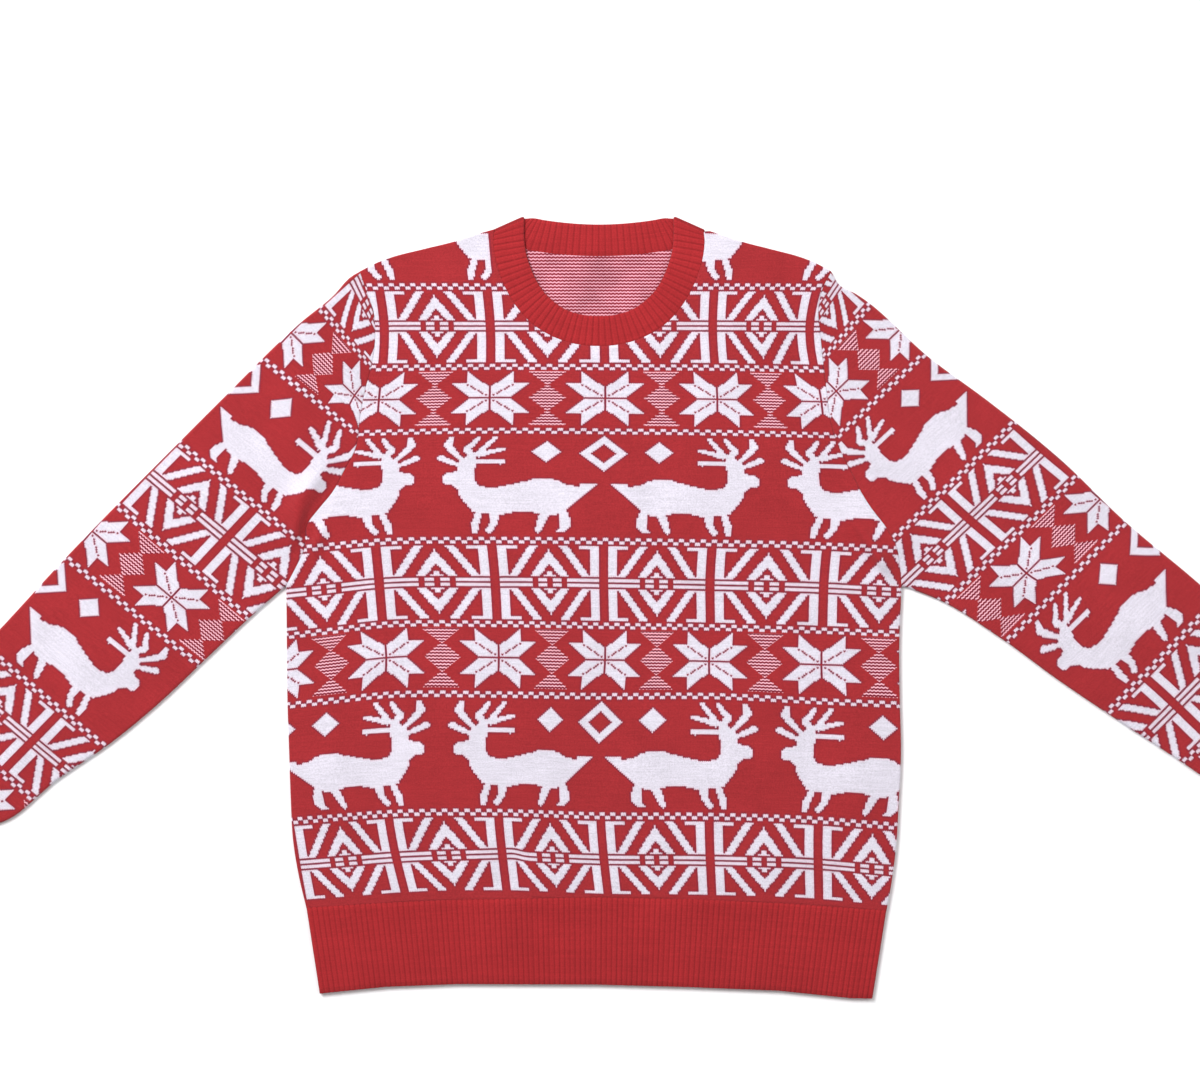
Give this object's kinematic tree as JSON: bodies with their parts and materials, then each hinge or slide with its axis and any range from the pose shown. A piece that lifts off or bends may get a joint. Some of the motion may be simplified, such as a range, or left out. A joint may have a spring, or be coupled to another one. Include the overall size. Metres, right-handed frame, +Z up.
{
  "type": "christmas sweater",
  "caption": "Knitted crew-neck pullover with traditional bands of stars, reindeer and lozenges, laid flat on its back with both sleeves spread.",
  "frame": {"origin": "on the surface it lies on, under the middle of the garment's box", "axes": "+Z up from the surface, through the thin layers; +X across the garment from its right sleeve to its left one; +Y from the hem to the neck"},
  "size_m": [1.3636, 0.7034, 0.0101],
  "materials": {
    "patterned_knit": "matte two-colour jacquard knit, red and off-white",
    "red_rib": "matte red one-by-one rib knit"
  },
  "bodies": {
    "root": {"front_panel": "patterned_knit", "back_panel": "patterned_knit", "sleeve_left": "patterned_knit", "sleeve_right": "patterned_knit", "neckband": "red_rib", "front_hem_rib": "red_rib", "back_hem_rib": "red_rib", "cuff_left": "red_rib", "cuff_right": "red_rib"}
  },
  "joints": []
}
